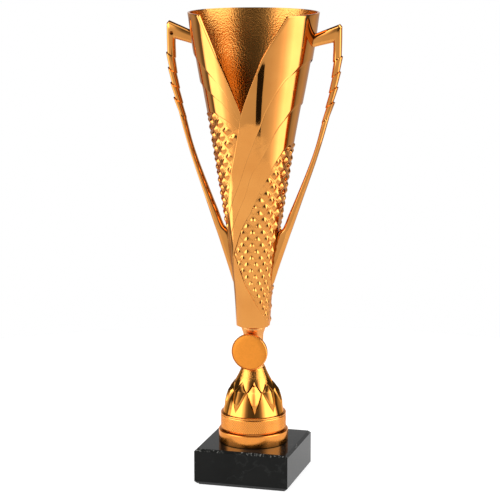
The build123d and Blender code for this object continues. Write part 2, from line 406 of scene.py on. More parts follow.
def path_through(points):
    """A smooth path through (angle, height) points, as a function of 0 to 1 by length."""
    lengths = [0.0]
    for (a0, z0), (a1, z1) in zip(points, points[1:]):
        lengths.append(lengths[-1] + sqrt(((a1 - a0) * MM_PER_DEGREE) ** 2 + (z1 - z0) ** 2))
    share = [length / lengths[-1] for length in lengths]
    angle = curve_free([(s, p[0]) for s, p in zip(share, points)])
    height = curve_free([(s, p[1]) for s, p in zip(share, points)])
    return lambda t: (angle(t), height(t))


def samples_of(path, steps):
    return [path(i / steps) for i in range(steps + 1)]


# ------------------------------------------------------------------ cup: its form
cup_low, cup_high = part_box("cup_shell")
CUP_BOTTOM = cup_low[2] / MM
CUP_TOP = cup_high[2] / MM
RIM_RADIUS = cup_high[1] / MM
# Radius of the ground that the studs stand on, against height.
ground_radius = curve_through([
    (CUP_BOTTOM, 13.7), (135, 14.0), (150, 14.8), (165, 16.0), (185, 18.4), (205, 20.9), (229, 24.1),
    (249, 27.2), (269, 30.4), (289, 33.6), (308, 36.8), (325, 39.7), (341, 42.4), (364, 46.2),
    (CUP_TOP, 49.7)])
CUP_FLOOR = CUP_BOTTOM + 4.5
inner_radius = curve_through([
    (CUP_FLOOR, 12.2), (165, 14.4), (205, 19.4), (249, 25.8), (289, 32.3), (308, 35.4),
    (325, 40.0), (341, 43.3), (364, 48.2), (CUP_TOP, RIM_RADIUS - 2.0)])
LEAF_STEP_TOP = 1.3
LEAF_STEP_FRONT = 0.6
LEAF_STEP_LOW = 0.4
LEAF_SINK = 0.35
LEAF_OVERLAP = 2.5
STEP_FROM = 250.0
STEP_TO = 352.0
# Where the leaf edges stand lower, as angles.
FRONT_MIDDLE = 2.0
FRONT_REACH = 68.0
FRONT_FADE = 36.0


def leaf_step(height):
    """How far one leaf stands above the next, less towards the foot of the cup."""
    return mix(LEAF_STEP_LOW, LEAF_STEP_TOP, smooth_step((height - STEP_FROM) / (STEP_TO - STEP_FROM)))


def step_share(angle):
    """Leaf edges stand lower across the front than at the sides."""
    angle = (angle + 180.0) % 360 - 180.0
    within = FRONT_REACH - abs(angle - FRONT_MIDDLE)
    return mix(1.0, LEAF_STEP_FRONT, smooth_step(within / FRONT_FADE))


def level_radius(level, height, angle=180.0):
    step = leaf_step(height)
    return ground_radius(height) + 3 * step - (3 - level) * step * step_share(angle)


# ------------------------------------------------------------------ cup: its lines, as (angle, height)
NOTCH_TIP = (1.0, 311.0)
notch_left = path_through([(-40.5, CUP_TOP), (-28.9, 370.3), (-13.0, 339.0), NOTCH_TIP])
blade_edge_points = [(46.2, CUP_TOP), (24.3, 358.0), (17.7, 344.3), (8.7, 326.4), NOTCH_TIP, (-4.6, 294.9),
                     (-11.6, 278.9), (-21.7, 261.8), (-30.3, 245.4), (-37.5, 233.0), (-49.0, 212.3),
                     (-66.0, 190.0)]
# Lower edges of the three leaves, from the blade's foot on the left, past the front, the right handle,
# the back and the left handle to the tip of the notch.
leaf_edges = {
    3: [(-66.0, 188.0), (-50.0, 213.0), (-36.6, 226.5), (-16.6, 244.5), (-6.6, 254.9), (7.6, 275.2),
        (22.9, 299.3), (30.8, 314.8), (40.9, 328.4), (50.0, 338.2), (68.7, 347.2), (90.7, 352.1),
        (112.0, 349.0), (150.0, 331.0), (190.0, 315.0), (230.0, 333.0), (268.0, 354.0), (287.0, 357.5),
        (308.0, 351.1), (322.0, 344.0), (336.5, 334.5), (350.0, 318.0), (360.0, 303.0)],
    2: [(-66.0, 182.0), (-45.0, 203.5), (-22.3, 222.3), (-9.8, 232.9), (1.0, 243.4), (13.2, 262.0),
        (24.2, 271.1), (39.1, 288.2), (50.6, 300.9), (71.1, 313.5), (90.0, 316.5), (112.0, 314.0),
        (150.0, 297.0), (190.0, 283.0), (230.0, 303.0), (268.0, 329.0), (287.0, 333.5), (310.0, 330.0),
        (323.0, 325.3), (337.1, 319.6), (346.5, 312.6), (357.3, 303.6), (363.0, 297.0)],
    1: [(-66.0, 176.0), (-40.0, 191.5), (-26.1, 200.9), (-13.0, 211.7), (-0.9, 221.4), (8.9, 228.4),
        (18.1, 237.6), (26.2, 247.2), (39.6, 258.8), (48.9, 268.2), (56.9, 274.9), (67.7, 280.4),
        (88.0, 283.5), (112.0, 281.0), (150.0, 262.0), (190.0, 250.0), (230.0, 273.0), (268.0, 304.0),
        (287.0, 308.0), (305.0, 309.5), (320.4, 310.3), (336.7, 306.2), (349.9, 301.3), (356.9, 296.6),
        (363.0, 290.0)],
}
# How many degrees past the rim's corners the crown leaf's lower edge passes from one stretch to the next.
BLADE_LEAD = 26
PANEL_LEAD = 22
COLLAR_RISE = 0.5
COLLAR_SINK = 0.4
WALL_COLUMNS = 240
WALL_ROW = 3.0
RIM_DROP = 0.25
NOTCH_ROWS = 40
LINING_THICKNESS = 0.3
THINNEST = 0.7
BORE_RADIUS = 4.0


def falling_angle(samples, height):
    """The angle at which a falling line of (angle, height) samples reaches a height."""
    for (a0, z0), (a1, z1) in zip(samples, samples[1:]):
        if z1 <= height <= z0:
            return mix(a0, a1, (z0 - height) / max(z0 - z1, 1e-6))
    return samples[0][0] if height > samples[0][1] else samples[-1][0]


def close_notch(shape, rows):
    """Closes both faces of the notch between pairs of rows in the outer and the inner skin."""
    for outer, inner in rows:
        for column in (0, WALL_COLUMNS - 1):
            corners = (outer, outer + 1, inner - 1, inner)
            shape.faces.append(tuple(row * WALL_COLUMNS + column for row in corners))


def make_cup_wall(material, lining):
    """The cup's wall with its notch: the ground under leaves and studs, and the grained lining."""
    seam = samples_of(path_through(blade_edge_points), 400)
    left = samples_of(notch_left, 200)
    heights = [CUP_FLOOR]
    while heights[-1] < NOTCH_TIP[1] - WALL_ROW:
        heights.append(heights[-1] + WALL_ROW)
    heights.append(NOTCH_TIP[1])
    heights += [mix(NOTCH_TIP[1], CUP_TOP - RIM_DROP, i / NOTCH_ROWS) for i in range(1, NOTCH_ROWS + 1)]
    total = len(heights)
    notched = range(total - NOTCH_ROWS - 1, total - 1)

    def ring(height, radius):
        start = falling_angle(seam, height)
        end = (falling_angle(left, height) if height > NOTCH_TIP[1] else start) + 360
        return [around(radius, mix(start, end, j / (WALL_COLUMNS - 1)), height) for j in range(WALL_COLUMNS)]

    def foot(radius, height):
        start = falling_angle(seam, CUP_BOTTOM)
        return [around(radius, 360 * j / (WALL_COLUMNS - 1) + start, height) for j in range(WALL_COLUMNS)]

    edge = ground_radius(CUP_BOTTOM)
    rows = [foot(edge - 3.2, CUP_BOTTOM), foot(edge - 1.0, CUP_BOTTOM + 0.2)]
    for height in [CUP_BOTTOM + 1.2] + heights:
        rows.append(ring(height, max(ground_radius(height), inner_radius(height) + THINNEST)))
    inside = [ring(height, inner_radius(height) + LINING_THICKNESS) for height in reversed(heights)]
    rows += inside + [foot(BORE_RADIUS, CUP_FLOOR), foot(BORE_RADIUS, CUP_BOTTOM)]
    wall = Shape()
    wall.grid(rows, wrap_rows=True)
    close_notch(wall, [(i + 3, 2 + 2 * total - i) for i in notched])
    make_piece("cup_wall", wall.verts, wall.faces, material, "cup_shell")

    skin = Shape()
    skin.grid([ring(height, inner_radius(height)) for height in heights] + inside, wrap_rows=True)
    close_notch(skin, [(i, 2 * total - 1 - i) for i in notched])
    make_piece("cup_lining", skin.verts, skin.faces, lining, "cup_shell")


def leaf_band(name, level, lower, upper, material, columns=260, across=14, lip=0.14, upper_lip=0.3):
    """A closed, thick band between two lines, with rounded edges, at one leaf's level."""
    shape = Shape()
    rows = []
    for i in range(columns + 1):
        s = i / columns
        a0, z0 = lower(s)
        a1, z1 = upper(s)
        span = sqrt((z1 - z0) ** 2 + (radians(a1 - a0) * level_radius(level, (z0 + z1) / 2)) ** 2)
        edge = min(0.3, lip / max(span, 0.01))
        far = 1 - min(0.3, upper_lip / max(span, 0.01))
        tuck = min(0.3, (level * leaf_step(z0) + LEAF_SINK) / max(span, 0.01))
        places = [tuck, 0.0, edge * 0.3] + [mix(edge, far, j / across) for j in range(across + 1)]
        places += [1 - (1 - far) * 0.3, 1.0, 1.0]
        depths = [None, -lip, -lip * 0.3] + [0.0] * (across + 1) + [-upper_lip * 0.3, -upper_lip, None]
        row = []
        for place, depth in zip(places, depths):
            angle = mix(a0, a1, place)
            height = mix(z0, z1, place)
            radius = level_radius(level, height, angle) + depth if depth is not None else sunk_radius(height)
            row.append(around(radius, angle, height))
        for j in range(across + 1):
            place = mix(1.0, 0.0, (j + 1) / (across + 2))
            angle = mix(a0, a1, place)
            height = mix(z0, z1, place)
            row.append(around(sunk_radius(height), angle, height))
        rows.append(row)
    shape.bar(rows)
    make_piece(name, shape.verts, shape.faces, material, "cup_shell", sharp=50)


def sunk_radius(height):
    return max(ground_radius(height), inner_radius(height) + THINNEST) - LEAF_SINK


def make_leaves(material):
    """The three overlapping leaves; the top one carries the rim and both edges of the notch."""
    edges = {level: path_through(points) for level, points in leaf_edges.items()}
    make_crown_leaf(material, edges[3])
    for level in (2, 1):
        covering = edges[level + 1]

        def upper(s, covering=covering):
            angle, height = covering(s)
            return angle, height + LEAF_OVERLAP

        leaf_band(f"cup_leaf_{level}", level, edges[level], upper, material)


def make_crown_leaf(material, lower):
    """The outermost leaf, in three stretches: the blade, the rim and the left panel."""
    blade = path_through(blade_edge_points[::-1])
    corner_right = blade_edge_points[0][0]
    corner_left = 360 + notch_left(0)[0]
    right_foot = nearest_share(lower, corner_right + BLADE_LEAD)
    left_foot = nearest_share(lower, corner_left - PANEL_LEAD)

    def upper(s):
        if s <= right_foot:
            return blade(s / right_foot)
        if s <= left_foot:
            return mix(corner_right, corner_left, (s - right_foot) / (left_foot - right_foot)), CUP_TOP
        angle, height = notch_left((s - left_foot) / (1 - left_foot))
        return angle + 360, height

    leaf_band("cup_crown_leaf", 3, lower, upper, material, columns=420, across=16, upper_lip=0.4)


def nearest_share(path, angle):
    """The share along a path at which it reaches an angle."""
    steps = 800
    return min((abs(point[0] - angle), i / steps) for i, point in enumerate(samples_of(path, steps)))[1]


# ------------------------------------------------------------------ cup: its studs
STUD_ANGLE = 11.25
STUD_RISE_STEP = 5.45
STUD_HEIGHT = 1.6
STUD_LEAN = 0.12
STUD_ANCHOR = (41.0, 254.5)
LEFT_ANCHOR = (-34.0, 302.0)
CELL_FLOOR = 0.06
CELL_BORDER = 0.08
CELL_UNDERLAP = 2.2
STUD_KEEP = 0.5
COLLAR_EDGE = [(-47.0, 196.0), (-34.1, 189.4), (-26.5, 183.0), (-19.3, 175.6), (-9.1, 167.3), (5.2, 159.8),
               (20.2, 152.1), (36.5, 145.0), (56.2, 137.6), (72.4, 131.5)]
BACK_COLLAR_EDGE = [(205.0, 131.5), (222.0, 150.0), (240.0, 178.0), (258.0, 205.0), (270.0, 216.0),
                    (285.0, 222.0), (294.0, 206.0)]
LINES_FROM = -66.0
BACK_SEAM = 190.0
BACK_SEAM_HALF = 1.6
HANDLE_ROOT_TOP = 222.0
HANDLE_ROOT_HALF = 4.3


def line_margin(line, angle, height):
    """How far a point lies below a line on the cup, in millimetres, or None past the line's ends."""
    for (a0, z0), (a1, z1) in zip(line, line[1:]):
        if a0 <= angle <= a1:
            run = max(radians(a1 - a0) * ground_radius(height), 0.01)
            steep = sqrt(1 + ((z1 - z0) / run) ** 2)
            return (mix(z0, z1, (angle - a0) / max(a1 - a0, 1e-6)) - height) / steep
    return None


def least(*margins):
    return min(margins) if None not in margins else -99.0


def above(margin):
    return None if margin is None else -margin


class StudField:
    """The studded parts of the wall, bounded by leaves, collar, handles and the seam at the back."""

    def __init__(self):
        self.leaf = samples_of(path_through(leaf_edges[1]), 300)
        self.blade = sorted(samples_of(path_through(blade_edge_points), 300))

    def margin(self, angle, height):
        """Distance in millimetres from a point to the edge of its field, positive inside."""
        angle = (angle - LINES_FROM) % 360 + LINES_FROM
        seam = radians(abs(angle - BACK_SEAM)) * ground_radius(height) - BACK_SEAM_HALF
        if height < HANDLE_ROOT_TOP:
            root = min(abs(angle - 90.0), abs(angle - 270.0))
            seam = min(seam, radians(root) * ground_radius(height) - HANDLE_ROOT_HALF)
        below_leaf = line_margin(self.leaf, angle, height)
        if angle < COLLAR_EDGE[-1][0]:
            field = least(below_leaf, above(line_margin(COLLAR_EDGE, angle, height)))
        elif angle > BACK_COLLAR_EDGE[0][0]:
            field = least(below_leaf, above(line_margin(BACK_COLLAR_EDGE, angle, height)))
        else:
            field = below_leaf
        if angle < 0:
            over_blade = above(line_margin(self.blade, angle, height))
            left = least(over_blade, line_margin(self.leaf, angle + 360, height))
            field = max(field, left)
        return min(seam, field)


def make_studs(material):
    shape = Shape()
    field = StudField()
    fields = ((STUD_ANCHOR, STUD_LEAN, -60.0, BACK_SEAM), (LEFT_ANCHOR, 0.0, -170.0, -3.0))
    for anchor, lean, first, last in fields:
        for row in range(-34, 18):
            height = anchor[1] + row * STUD_RISE_STEP
            if not CUP_BOTTOM + 3 < height < CUP_TOP:
                continue
            for column in range(-18, 19):
                if (row + column) % 2:
                    continue
                angle = anchor[0] + column * STUD_ANGLE + lean * (height - anchor[1])
                if not first <= angle <= last:
                    continue
                in_left = angle < 0 and height > left_floor(field, angle)
                if in_left != (anchor is LEFT_ANCHOR):
                    continue
                if field.margin(angle, height) > -STUD_RISE_STEP * 0.8:
                    add_cell(shape, field, angle, height)
    make_piece("cup_studs", shape.verts, shape.faces, material, "cup_shell", sharp=45,
               merge=False)


def left_floor(field, angle):
    """The height above which the left field begins at an angle."""
    if angle < field.blade[0][0]:
        return 0.0
    return line_height(field.blade, angle)


def line_height(points, angle):
    for (a0, z0), (a1, z1) in zip(points, points[1:]):
        if a0 <= angle <= a1:
            return mix(z0, z1, (angle - a0) / max(a1 - a0, 1e-6))
    return points[-1][1]


# How far a cell's closed underside, and its points outside the field, lie below the wall.
CELL_SINK = 0.5
CELL_BURIED = 0.6
# One cell of the studded wall: share of the cell, height above the wall, and how round its outline is.
CELL_RINGS = ((0.07, 1.00, 1.0), (0.22, 0.86, 1.0), (0.42, 0.58, 1.0), (0.62, 0.22, 0.9), (0.76, 0.04, 0.7),
              (0.88, 0.0, 0.3), (1.0, 0.035, 0.0))
CELL_SIDES = 12


def add_cell(shape, field, angle, height):
    """A diamond cell with raised borders, a shallow dish and a faceted point standing in its middle."""
    pointed = field.margin(angle, height) > STUD_KEEP
    size = min(1.0, 0.45 + 0.55 * ground_radius(height) / 28.0)
    rows = []
    for share, lift, round_share in CELL_RINGS:
        row = []
        for i in range(CELL_SIDES):
            turn = 2 * pi * i / CELL_SIDES
            diamond = 1 / (abs(sin(turn)) + abs(cos(turn)))
            reach = share * mix(diamond, 0.80, round_share * 0.55)
            at = angle + sin(turn) * STUD_ANGLE * reach
            up = height + cos(turn) * STUD_RISE_STEP * reach
            rise = STUD_HEIGHT * size * lift
            margin = field.margin(at, up)
            if not pointed or margin < 0.2:
                rise = min(rise, CELL_BORDER)
            if margin < -CELL_UNDERLAP:
                rise = -CELL_BURIED
            row.append(around(ground_radius(up) + CELL_FLOOR + rise, at, up))
        rows.append(row)
    start = shape.grid(rows, wrap_columns=True)
    shape.cap(start, CELL_SIDES)
    shape.verts.append(around(ground_radius(height) - CELL_SINK, angle, height))
    last = start + (len(rows) - 1) * CELL_SIDES
    for i in range(CELL_SIDES):
        shape.faces.append((last + i, last + (i + 1) % CELL_SIDES, len(shape.verts) - 1))


def make_collar(material):
    """The smooth lower sleeve of the cup, whose edge borders the studs."""
    sleeve_band("cup_collar_front", path_through([(-75.0, 206.0), (-60.0, 200.0)] + COLLAR_EDGE), material)
    sleeve_band("cup_collar_back", path_through(BACK_COLLAR_EDGE), material)


def sleeve_band(name, edge, material, columns=90, across=24):
    """A closed band between the cup's foot and an edge line."""
    shape = Shape()
    rows = []
    low = CUP_BOTTOM + 1.0
    for angle, top in samples_of(edge, columns):
        row = [around(ground_radius(low) - COLLAR_SINK, angle, low)]
        for j in range(across + 1):
            height = mix(low, top - 0.3, j / across)
            row.append(around(ground_radius(height) + COLLAR_RISE, angle, height))
        row.append(around(ground_radius(top) + COLLAR_RISE - 0.3, angle, top))
        for j in range(across):
            height = mix(top, low, j / across)
            row.append(around(ground_radius(height) - COLLAR_SINK, angle, height))
        rows.append(row)
    shape.bar(rows)
    make_piece(name, shape.verts, shape.faces, material, "cup_shell", sharp=50)


# ------------------------------------------------------------------ handles
HANDLE_SQUARE = 2.5
HANDLE_POINTS = 64
HANDLE_SHARP = 24
DIMPLE_RADIUS = 1.65
DIMPLE_CUTTER = 9.0
DIMPLE_FRONT = 4.0
DIMPLE_X = 68.6
DIMPLE_Z = 371.5
# Outer and inner edge points of the handle's cross-sections, in the XZ plane, with half its depth.
handle_sections = [
    ((50.0, 372.8), (50.0, 362.4), 4.0), ((60.0, 376.9), (57.0, 364.3), 4.0),
    ((71.8, 381.6), (66.0, 366.5), 4.0), ((73.5, 379.6), (66.6, 366.2), 4.0),
    ((73.5, 370.0), (66.6, 362.0), 3.9), ((73.3, 356.2), (66.2, 351.2), 3.5),
]
scale_tops = [((74.3, 355.6), (66.9, 350.6)), ((72.9, 343.4), (65.8, 338.2)),
              ((70.9, 331.0), (63.7, 325.8)), ((68.2, 318.7), (61.0, 313.6))]
scale_feet = [((71.9, 343.6), (65.0, 338.4)), ((69.8, 331.2), (62.9, 326.0)),
              ((66.9, 318.9), (60.2, 313.8)), ((63.5, 306.4), (57.3, 301.9))]
SCALE_TOP_DEPTH = 4.0
SCALE_FOOT_DEPTH = 3.1
arm_sections = [((63.3, 305.4), (57.5, 301.2), 3.5), ((57.6, 285.4), (52.3, 281.5), 3.4),
                ((51.2, 265.2), (45.6, 262.5), 3.6), ((42.4, 240.0), (36.1, 239.0), 3.9),
                ((37.6, 226.0), (30.6, 226.0), 4.0), ((33.2, 213.3), (25.6, 213.8), 4.0),
                ((30.8, 206.5), (20.0, 208.0), 4.0), ((26.3, 193.3), (15.5, 194.0), 4.0),
                ((21.8, 180.0), (12.5, 180.0), 3.8), ((17.5, 166.5), (10.5, 166.5), 3.0)]


def squared(value):
    """The sine or cosine of a turn, pushed outwards to square off a round section."""
    return abs(value) ** (2 / HANDLE_SQUARE) * (1 if value >= 0 else -1)


def handle_ring(outer, inner, depth):
    """A section through the handle: a softly crowned front and back with well rounded edges."""
    points = []
    for i in range(HANDLE_POINTS):
        turn = 2 * pi * i / HANDLE_POINTS
        share = 0.5 + 0.5 * squared(cos(turn))
        x, z = (mix(start, end, share) for start, end in zip(outer, inner))
        points.append((x, depth * squared(sin(turn)), z))
    return points


def smooth_sections(sections, per=6):
    """More sections between the given ones, on smooth curves through them."""
    flat = [(*outer, *inner, depth) for outer, inner, depth in sections]
    curves = [curve_free(list(enumerate(values))) for values in zip(*flat)]
    steps = (len(flat) - 1) * per
    made = [[curve(i / per) for curve in curves] for i in range(steps + 1)]
    return [((x0, z0), (x1, z1), depth) for x0, z0, x1, z1, depth in made]


def make_handle(name, node, turn, material):
    rings = [handle_ring(*section) for section in handle_sections]
    for top, foot in zip(scale_tops, scale_feet):
        rings.append(handle_ring(top[0], top[1], SCALE_TOP_DEPTH))
        rings.append(handle_ring(foot[0], foot[1], SCALE_FOOT_DEPTH))
    rings += [handle_ring(*section) for section in smooth_sections(arm_sections)]
    shape = Shape()
    shape.bar(rings)
    spun = Matrix.Rotation(radians(turn), 3, "Z")
    verts = [tuple(spun @ Vector(v)) for v in shape.verts]
    piece = make_piece(name, verts, shape.faces, material, node, sharp=HANDLE_SHARP)
    if turn:
        drill_dimple(piece)


def drill_dimple(piece):
    """The small blind hole in the outer corner of the left handle's front."""
    bpy.ops.mesh.primitive_cylinder_add(vertices=40, radius=DIMPLE_RADIUS * MM, depth=DIMPLE_CUTTER * MM,
                                        location=(-DIMPLE_X * MM, -DIMPLE_FRONT * MM, DIMPLE_Z * MM),
                                        rotation=(radians(90), 0, 0))
    cutter = bpy.context.object
    cut = piece.modifiers.new("dimple", "BOOLEAN")
    cut.object = cutter
    cut.operation = "DIFFERENCE"
    bpy.context.view_layer.update()
    shaped = bpy.data.meshes.new_from_object(piece.evaluated_get(bpy.context.evaluated_depsgraph_get()))
    piece.modifiers.clear()
    piece.data = shaped
    shaped.set_sharp_from_angle(angle=radians(HANDLE_SHARP))
    bpy.data.objects.remove(cutter)


# ------------------------------------------------------------------ foot and stem
def lathe(name, profile, material, node, segments=160):
    """A solid turned round +Z from a closed profile of (radius, height) points."""
    shape = Shape()
    rows = [[around(r, 360 * j / segments, z) for j in range(segments)] for r, z in profile]
    shape.grid(rows, wrap_rows=True, wrap_columns=True)
    make_piece(name, shape.verts, shape.faces, material, node)


def arc_points(centre, radius, start, end, steps):
    turns = [radians(mix(start, end, i / steps)) for i in range(steps + 1)]
    return [(centre[0] + radius * cos(turn), centre[1] + radius * sin(turn)) for turn in turns]


ring_low, ring_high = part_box("foot_ring")
band_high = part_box("knurled_band")[1]
bell_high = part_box("foot_bell")[1]
stem_low, stem_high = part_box("stem")
RING_RADIUS = ring_high[0] / MM
RING_BOTTOM = ring_low[2] / MM
RING_TOP = ring_high[2] / MM
BAND_RADIUS = band_high[0] / MM
BAND_TOP = band_high[2] / MM
BELL_TOP = bell_high[2] / MM
STEM_BOTTOM = stem_low[2] / MM
STEM_TOP = stem_high[2] / MM
RING_INNER = 24.5
RING_EDGE = 0.9
RING_FOOT_EDGE = 0.4
BAND_INNER = 22.8
BAND_SHOULDER = 1.2
ROD_BORE = 3.2
BOSS_FRONT = -9.4
KNURLS = 96
KNURL_ROWS = 10
KNURL_DEPTH = 0.52
KNURL_STEPS = 4


def make_foot_ring(material):
    profile = [(RING_INNER, RING_BOTTOM)]
    foot = (RING_RADIUS - RING_FOOT_EDGE, RING_BOTTOM + RING_FOOT_EDGE)
    head = (RING_RADIUS - RING_EDGE, RING_TOP - RING_EDGE)
    profile += arc_points(foot, RING_FOOT_EDGE, -90, 0, 4) + arc_points(head, RING_EDGE, 0, 90, 8)
    profile += [(RING_INNER, RING_TOP)]
    lathe("foot_ring_body", profile, material, "foot_ring")


def make_knurled_band(material):
    """A band of fine diamond knurls under a smooth rounded shoulder."""
    low = RING_TOP + 0.9
    high = BAND_TOP - 1.9
    segments = KNURLS * KNURL_STEPS
    steps = KNURL_ROWS * KNURL_STEPS

    def plain(profile):
        return [[around(r, 360 * j / segments, height) for j in range(segments)] for r, height in profile]

    rows = plain([(BAND_INNER, RING_TOP + 0.02), (BAND_RADIUS - 0.6, RING_TOP + 0.02),
                  (BAND_RADIUS - 0.1, RING_TOP + 0.5)])
    for i in range(steps + 1):
        v = i / KNURL_STEPS
        fade = min(1.0, i / 3, (steps - i) / 3)
        height = mix(low, high, i / steps)
        row = []
        for j in range(segments):
            u = j / KNURL_STEPS
            wave = abs(((u + v / 2) % 1) - 0.5) + abs(((u - v / 2) % 1) - 0.5)
            row.append(around(BAND_RADIUS - 0.55 + KNURL_DEPTH * fade * wave, 360 * j / segments, height))
        rows.append(row)
    shoulder = arc_points((BAND_RADIUS - BAND_SHOULDER, BAND_TOP - BAND_SHOULDER), BAND_SHOULDER, 0, 90, 8)
    rows += plain([(BAND_RADIUS - 0.05, high + 0.35)] + shoulder + [(BAND_INNER, BAND_TOP)])
    shape = Shape()
    shape.grid(rows, wrap_rows=True, wrap_columns=True)
    make_piece("knurled_band_body", shape.verts, shape.faces, material, "knurled_band",
               sharp=60)


bell_radius = curve_through([(BAND_TOP - 0.4, 25.6), (61.8, 24.1), (68.7, 22.1), (75.7, 19.2), (82.6, 15.5),
                             (89.5, 11.9), (BELL_TOP, 9.7)])
FLUTES = 9
FLUTE_LEAD = 18.0
FLUTE_BOTTOM = 59.3
FLUTE_MIDDLE = 76.2
FLUTE_TOP = 84.5
FLUTE_RISE = 1.9
FLUTE_EDGE = 0.7
FLUTE_GROOVE = 0.08
FLUTE_SIDE = 0.16
FLUTE_LIP = 0.7


def flute_half(height):
    """Half the width of a diamond at a height, as a share of half a pitch."""
    if not FLUTE_BOTTOM < height < FLUTE_TOP:
        return 0.0
    if height < FLUTE_MIDDLE:
        return (height - FLUTE_BOTTOM) / (FLUTE_MIDDLE - FLUTE_BOTTOM)
    return (FLUTE_TOP - height) / (FLUTE_TOP - FLUTE_MIDDLE)


def flute_row(height):
    """(share of half a pitch, relief) pairs across one flute: groove, steep side, facet and crest."""
    half = flute_half(height) * 0.985
    gap = min(FLUTE_GROOVE, half * 0.3)
    edge = half - gap
    side = max(edge - FLUTE_SIDE * half, 0.0)
    lip = FLUTE_LIP * min(1.0, half * 2.5)
    crest = lip + FLUTE_RISE * half
    row = [(mix(1.0, half + gap * 0.5, i / 10), 0.0) for i in range(11)]
    row += [(half, -FLUTE_EDGE * min(1.0, half * 4)), (edge, 0.0), (side, lip)]
    row += [(mix(side, 0.0, i / 5), mix(lip, crest, i / 5)) for i in range(1, 6)]
    return [(-u, r) for u, r in row] + list(reversed(row[:-1]))


def make_bell(material):
    """The bell foot, with its ring of faceted diamonds as real relief."""
    shape = Shape()
    pitch = 360 / FLUTES
    heights = [BAND_TOP - 0.4, BAND_TOP + 1.0, FLUTE_BOTTOM - 0.4]
    heights += [mix(FLUTE_BOTTOM + 0.02, FLUTE_MIDDLE, i / 34) for i in range(35)]
    heights += [mix(FLUTE_MIDDLE, FLUTE_TOP - 0.02, i / 20) for i in range(1, 21)]
    heights += [mix(FLUTE_TOP + 0.3, BELL_TOP - 0.3, i / 24) for i in range(25)]

    def turned(radius, height, relief):
        row = []
        for flute in range(FLUTES):
            middle = FLUTE_LEAD + flute * pitch
            for u, r in flute_row(height)[:-1]:
                row.append(around(radius + r * relief, middle + u * pitch / 2, height))
        return row

    rows = [turned(20.0, BAND_TOP - 0.4, 0.0)]
    rows += [turned(bell_radius(height), height, 1.0) for height in heights]
    rows += [turned(9.3, BELL_TOP, 0.0), turned(ROD_BORE, BELL_TOP, 0.0), turned(ROD_BORE, BELL_TOP - 5, 0.0)]
    shape.grid(rows, wrap_rows=True, wrap_columns=True)
    make_piece("foot_bell_body", shape.verts, shape.faces, material, "foot_bell", sharp=16)


def emblem_place():
    """The emblem holder's radius, the place of its front face and the height of its middle."""
    low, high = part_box("emblem_holder")
    return (high[0] - low[0]) / 2 / MM, low[1] / MM, (low[2] + high[2]) / 2 / MM


def disc_piece(name, profile, material, node, segments=128):
    """A turned piece at the emblem's height, whose axis points along -Y, from (radius, y) points."""
    height = emblem_place()[2]
    turns = [2 * pi * j / segments for j in range(segments)]
    shape = Shape()
    shape.bar([[(r * cos(turn), y, height + r * sin(turn)) for turn in turns] for r, y in profile])
    make_piece(name, shape.verts, shape.faces, material, node)


def make_stem(material):
    """The waisted neck, turned, with the flat boss behind the emblem holder."""
    lip = STEM_TOP - 2.2
    neck = curve_through([(STEM_BOTTOM, 9.4), (STEM_BOTTOM + 9, 7.9), (STEM_TOP - 8, 8.3), (lip, 9.9)])
    profile = [(ROD_BORE, STEM_BOTTOM)]
    steps = 40
    for i in range(steps + 1):
        height = mix(STEM_BOTTOM, lip, i / steps)
        profile.append((neck(height), height))
    profile += [(10.15, STEM_TOP - 1.6), (10.2, STEM_TOP - 0.5), (9.9, STEM_TOP), (ROD_BORE, STEM_TOP)]
    lathe("stem_neck", profile, material, "stem")
    boss = [(6.5, -5.0), (6.5, -8.9), (6.1, BOSS_FRONT), (0.5, BOSS_FRONT)]
    disc_piece("stem_boss", boss, material, "stem", segments=64)


def make_emblem(metal, face):
    """The round dish with its thin rim, and the blank disc that fills it."""
    radius, front = emblem_place()[:2]
    dish = [(0.3, BOSS_FRONT), (radius - 2.0, BOSS_FRONT), (radius - 0.4, BOSS_FRONT - 0.8),
            (radius, BOSS_FRONT - 1.5), (radius, front + 1.0), (radius - 0.2, front + 0.3),
            (radius - 0.45, front), (radius - 0.65, front + 0.05), (radius - 0.8, front + 0.4),
            (radius - 0.85, front + 1.1), (0.3, front + 1.15)]
    disc_piece("emblem_dish", dish, metal, "emblem_holder")
    edge = radius - 0.95
    disc = [(0.2, front + 1.1), (edge, front + 1.1), (edge, front + 0.45), (edge - 0.4, front + 0.3),
            (edge * 0.6, front + 0.26), (0.2, front + 0.25)]
    disc_piece("emblem_face", disc, face, "emblem_insert")


# ------------------------------------------------------------------ studio
TABLE_WIDE = 0.60
TABLE_DEEP = 0.54
TABLE_POINTS = 96
TABLE_DROP = 0.0002
TABLE_GLOW = 0.80
WHITE = (1.0, 1.0, 1.0, 1.0)


def make_floor():
    mesh = bpy.data.meshes.new("floor")
    turns = [2 * pi * i / TABLE_POINTS for i in range(TABLE_POINTS)]
    rim = [(TABLE_WIDE * cos(turn), TABLE_DEEP * sin(turn), 0) for turn in turns]
    mesh.from_pydata(rim, [], [tuple(range(TABLE_POINTS))])
    floor = bpy.data.objects.new("floor", mesh)
    floor.location.z = -TABLE_DROP
    floor.rotation_euler.z = radians(CAMERA_AZIMUTH)
    bpy.context.scene.collection.objects.link(floor)
    material, graph, shader = new_material("floor_white")
    graph.feed(shader, {
        "Base Color": graph.ramp(graph.noise(graph.coords(), 3.0, 3.0), (0.3, 0.38), (0.7, 0.40)),
        "Roughness": 0.9,
        "Specular IOR Level": 0.1,
        "Emission Color": WHITE,
        "Emission Strength": TABLE_GLOW})
    mesh.materials.append(material)


